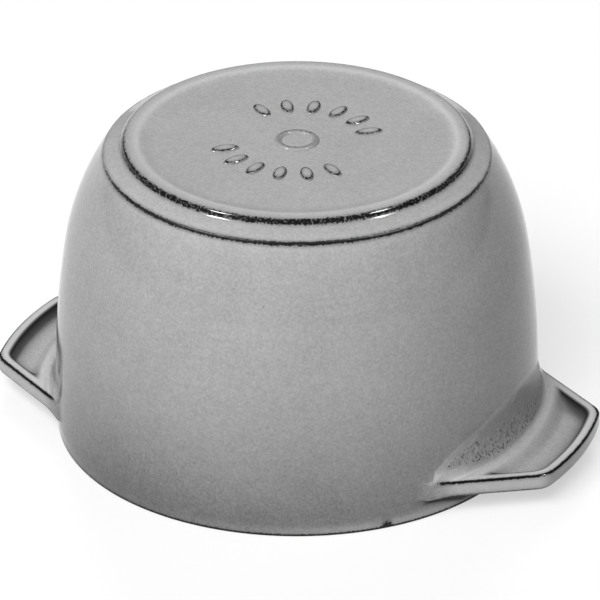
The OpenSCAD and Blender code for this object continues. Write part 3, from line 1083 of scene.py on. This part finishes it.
def lid_glaze(tree, finish):
    """The lid's grey top, from the flange's lower edge over the dome to the screw hole."""
    low_z = LID_TOP_LOW[2]
    rim_c = (FLANGE_R - FLANGE_ROUND, FLANGE_TOP - FLANGE_ROUND)
    face = np.vstack([
        [(FLANGE_R, low_z)],
        arc(rim_c, FLANGE_ROUND, 0, 90, 8),
        [(DOME_R + 1, FLANGE_TOP)],
        arc(DOME_C, DOME_CURVE, dome_angle(DOME_R, DOME_CURVE), dome_angle(BOSS_R + 0.5, DOME_CURVE), 30),
        [(BOSS_R, BOSS_TOP), (LID_HOLE_R, BOSS_TOP)],
    ])
    smooth = softened(face, radius=0.35, sharpest=12)
    loop = np.vstack([smooth, moved(face, COAT_T)[::-1], smooth[:1]])
    edges = [(FLANGE_R - 0.45, FLANGE_TOP - 0.45, 0.75), (FLANGE_R, low_z, 0.9), (BOSS_R, BOSS_TOP, 0.6)]
    thin = [mark(gap_to(loop, (r, z)), strength, LID_EDGE_REACH) for r, z, strength in edges]
    return turned_piece("lid_glaze", tree, loop, finish, np.max(thin, axis=0))


def spike_outline():
    """A spike that hangs down from its root, with a round tip."""
    tip = SPIKE_TIP_R + LINING_T
    spike = np.vstack([
        arc((0, -SPIKE_H - LINING_T + tip), tip, -90, -20, 5),
        [(SPIKE_R, -0.7), (SPIKE_R + 0.5, -0.15), (SPIKE_R + 0.9, 0.05), (0, 0.1)],
    ])
    spike[0, 0] = 0
    return spike


def lid_lining(tree, finish):
    """The lid's black underside with its rings of spikes."""
    pad_z = under_z(PAD_R) - PAD_DROP
    dome_ends = dome_angle(SKIRT_IN_R, UNDER_CURVE), dome_angle(PAD_R + PAD_DROP, UNDER_CURVE)
    face = np.vstack([
        [(SKIRT_IN_R, BARE_H)],
        arc(DOME_C, UNDER_CURVE, *dome_ends, 26),
        [(PAD_R, pad_z), (LID_HOLE_R, pad_z)],
    ])
    smooth = softened(face, radius=0.6)
    loop = np.vstack([smooth[::-1], moved(face, -LINING_T), smooth[-1:]])
    spike = spike_outline()
    spike_object = outline_object("spike_outline", spike)
    inputs = {"Spike": spike_object, "Spike_Points": len(spike)}
    for number, (radius, count) in enumerate(SPIKE_RINGS, 1):
        inputs[f"Ring_{number}_Radius"] = radius * MM
        inputs[f"Ring_{number}_Height"] = under_z(radius) * MM
        inputs[f"Ring_{number}_Count"] = count
    piece = turned_piece("lid_lining", tree, loop, finish, **inputs)
    bpy.data.objects.remove(spike_object)
    return piece


def lid_knob(tree, finish):
    """The turned knob: foot, hollow neck, round edge and low crown."""
    flare = np.radians(np.linspace(0, 90, 14))
    crown = np.radians(np.linspace(8, 90, 14))
    top_r = KNOB_R - KNOB_EDGE_IN
    edge_z = KNOB_FLARE_Z + 2 * KNOB_EDGE_R
    path = np.vstack([
        [(0, KNOB_BORE_DEEP), (KNOB_BORE_R, KNOB_BORE_DEEP), (KNOB_BORE_R, 0)],
        [(KNOB_FOOT_R, 0), (KNOB_FOOT_R, KNOB_FOOT_H)],
        np.stack([KNOB_NECK_R + (top_r - KNOB_NECK_R) * (1 - np.cos(flare)),
                  KNOB_NECK_Z + (KNOB_FLARE_Z - KNOB_NECK_Z) * np.sin(flare)], axis=1),
        arc((KNOB_R - KNOB_EDGE_R, KNOB_FLARE_Z + KNOB_EDGE_R), KNOB_EDGE_R, -60, 60, 10),
        np.stack([top_r * np.cos(crown), edge_z + (KNOB_H - edge_z) * np.sin(crown)], axis=1),
    ])
    path = softened(path, radius=0.3) + [0, KNOB_LOW[2]]
    path[-1, 0] = 0
    return turned_piece("knob", tree, path, finish, segments=KNOB_SEGMENTS)


# A grain's outline from foot to top, as shares of its half length and heights to be scaled, and its thinness
GRAIN_SHARES = np.array([(1.0, -0.1), (0.97, 0.1), (0.9, 0.3), (0.78, 0.46), (0.6, 0.53), (0.3, 0.55),
                         (0.0, 0.55)])
GRAIN_THIN = (0.0, 0.3, 0.7, 0.85, 0.4, 0.0, 0.0)


def base_ornament(tree, finish):
    """Raised grains of rice in two arcs round a small raised ring, in the hollow of the base."""
    # The tree scales a grain's radius of one metre to its length and width
    grain = GRAIN_SHARES * [1 / MM, GRAIN_HIGH / GRAIN_SHARES[-1, 1]]
    ring = arc((MARK_RING_R, -MARK_RING_SINK), MARK_RING_W, 0, 180, 10) * [1, GRAIN_HIGH / MARK_RING_W]
    ring_thin = np.sin(np.linspace(0, pi, len(ring))) ** 3 * MARK_RING_THIN
    ring_object = outline_object("mark_ring_outline", ring, ring_thin)
    piece = grown(outline_object("base_ornament", grain, GRAIN_THIN), tree, Grain_Points=len(grain),
                  Ring=ring_object, Ring_Points=len(ring), Length=GRAIN_LONG * MM, Width=GRAIN_WIDE * MM,
                  Arc_Radius=GRAIN_ARC_R * MM, Arc_Span=radians(GRAIN_ARC_SPAN), Count=GRAIN_COUNT,
                  Height=BASE_Z * MM, Finish=finish)
    bpy.data.objects.remove(ring_object)
    return piece


# Studio: the camera and the lamps are in metres, the floor in millimetres

CAMERA_AT = Vector((640.6, -1466.2, 907.4)) * MM
CAMERA_HEADING = atan2(CAMERA_AT.x, -CAMERA_AT.y)
CAMERA_PITCH = 28.59
CAMERA_LENS = 410.0
CAMERA_SHIFT = 0.0053
FLOOR_HALF = 6000.0
FLOOR_TONE = 0.38
FLOOR_LIFT = 0.56
FLOOR_BOUNCE = 0.3
WORLD_LIGHT = 0.1
LAMP_AIM = Vector((0, 0, 0.05))
LAMP_FAR = 2.6
LAMP_SIZE = (1.2, 1.2)
GLINT_HIGH = 50.0
GLINT_FAR = 1.5
GLINT_SIZE = (0.24, 0.22)
GLINT_POWER = 30.0


def make_camera():
    data = bpy.data.cameras.new("camera")
    data.lens = CAMERA_LENS
    data.shift_x = CAMERA_SHIFT
    camera = add_object("camera", data)
    camera.location = CAMERA_AT
    camera.rotation_euler = (radians(90 - CAMERA_PITCH), 0.0, CAMERA_HEADING)
    bpy.context.scene.camera = camera


def toward(azimuth, elevation):
    """A direction out from the object, with its azimuth from the camera to the right."""
    heading = CAMERA_HEADING + radians(azimuth)
    rise = radians(elevation)
    return Vector((sin(heading) * cos(rise), -cos(heading) * cos(rise), sin(rise)))


def softbox(name, azimuth, elevation, distance, size, power, lights=True, mirrored=True):
    """A lamp aimed at the object. It lights, shows in the gloss, or does both."""
    data = bpy.data.lights.new(name, "AREA")
    data.shape = "RECTANGLE"
    data.size, data.size_y = size
    data.energy = power
    lamp = add_object(name, data)
    away = toward(azimuth, elevation)
    lamp.location = LAMP_AIM + away * distance
    lamp.rotation_euler = (-away).to_track_quat("-Z", "Y").to_euler()
    lamp.visible_diffuse = lights
    lamp.visible_glossy = mirrored


def make_floor():
    """A wide pale floor that the camera sees as near white, with the object's shadow kept."""
    corners = [(x * FLOOR_HALF, y * FLOOR_HALF, 0) for x, y in ((-1, -1), (1, -1), (1, 1), (-1, 1))]
    floor = mesh_object("floor", corners, [(0, 1, 2, 3)])
    finish = Finish("pale_floor", Roughness=1.0, Specular_IOR_Level=0.0, Emission_Color=grey(1.0))
    path = finish.node("ShaderNodeLightPath").outputs
    seen = path["Is Camera Ray"]
    for other in ("Is Glossy Ray", "Is Transmission Ray"):
        seen = finish.math("MAXIMUM", seen, path[other])
    finish.shade(Base_Color=finish.mix(seen, grey(FLOOR_BOUNCE), grey(FLOOR_TONE)),
                 Emission_Strength=finish.math("MULTIPLY", seen, FLOOR_LIFT))
    floor.data.materials.append(finish.material)


def make_world():
    """Even, weak light from all round."""
    world = bpy.data.worlds.new("studio")
    bpy.context.scene.world = world
    world.use_nodes = True
    light = {"Color": grey(1.0), "Strength": WORLD_LIGHT}
    Tree(world.node_tree).feed_all(world.node_tree.nodes["Background"], light)


def make_studio():
    bpy.context.scene.view_settings.view_transform = "Standard"
    make_world()
    make_floor()
    lamps = (("key_lamp", -45, 50, 38.0), ("front_lamp", -10, 45, 52.0), ("back_lamp", 180, 30, 35.0))
    for name, azimuth, elevation, power in lamps:
        softbox(name, azimuth, elevation, LAMP_FAR, LAMP_SIZE, power, mirrored=False)
    for name, azimuth in (("left_glint", -63), ("right_glint", 68)):
        softbox(name, azimuth, GLINT_HIGH, GLINT_FAR, GLINT_SIZE, GLINT_POWER, lights=False)


def main():
    make_camera()
    make_studio()
    mottle, ripple = glaze_mottle(), melt_ripple()
    grey_coat = grey_enamel(glaze_break(), mottle, ripple)
    black_coat = black_enamel(mottle, ripple)
    iron = bare_iron(mottle, ripple)
    nickel = metal("satin_nickel", mottle, (0.66, 0.64, 0.61, 1.0), 0.2)
    stainless = metal("stainless_steel", mottle, (0.58, 0.58, 0.58, 1.0), 0.26)
    turning = turning_tree()

    pieces = [
        ("pot", pot_glaze(grey_coat), "grey_gloss_enamel", "pot_exterior_enamel"),
        ("pot", pot_lining(turning, black_coat), "black_matt_enamel", "pot_interior_enamel"),
        ("pot", base_ornament(ornament_tree(), grey_coat), "grey_gloss_enamel", None),
        ("lid", lid_glaze(turning, grey_coat), "grey_gloss_enamel", "lid_exterior_enamel"),
        ("lid", lid_lining(spiked_tree(), black_coat), "black_matt_enamel", "lid_interior_enamel"),
        ("lid", lid_knob(turning, nickel), "plated_knob", "lid_knob"),
    ]
    for body, piece, slot, node in pieces:
        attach(piece, body)
        if node:
            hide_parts(node)
    bare = {"pot_casting": iron, "lid_casting": iron, "knob_screw": stainless, "screw_washer": stainless}
    for node, finish in bare.items():
        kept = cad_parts[node].data
        kept.materials.clear()
        kept.materials.append(finish)


main()
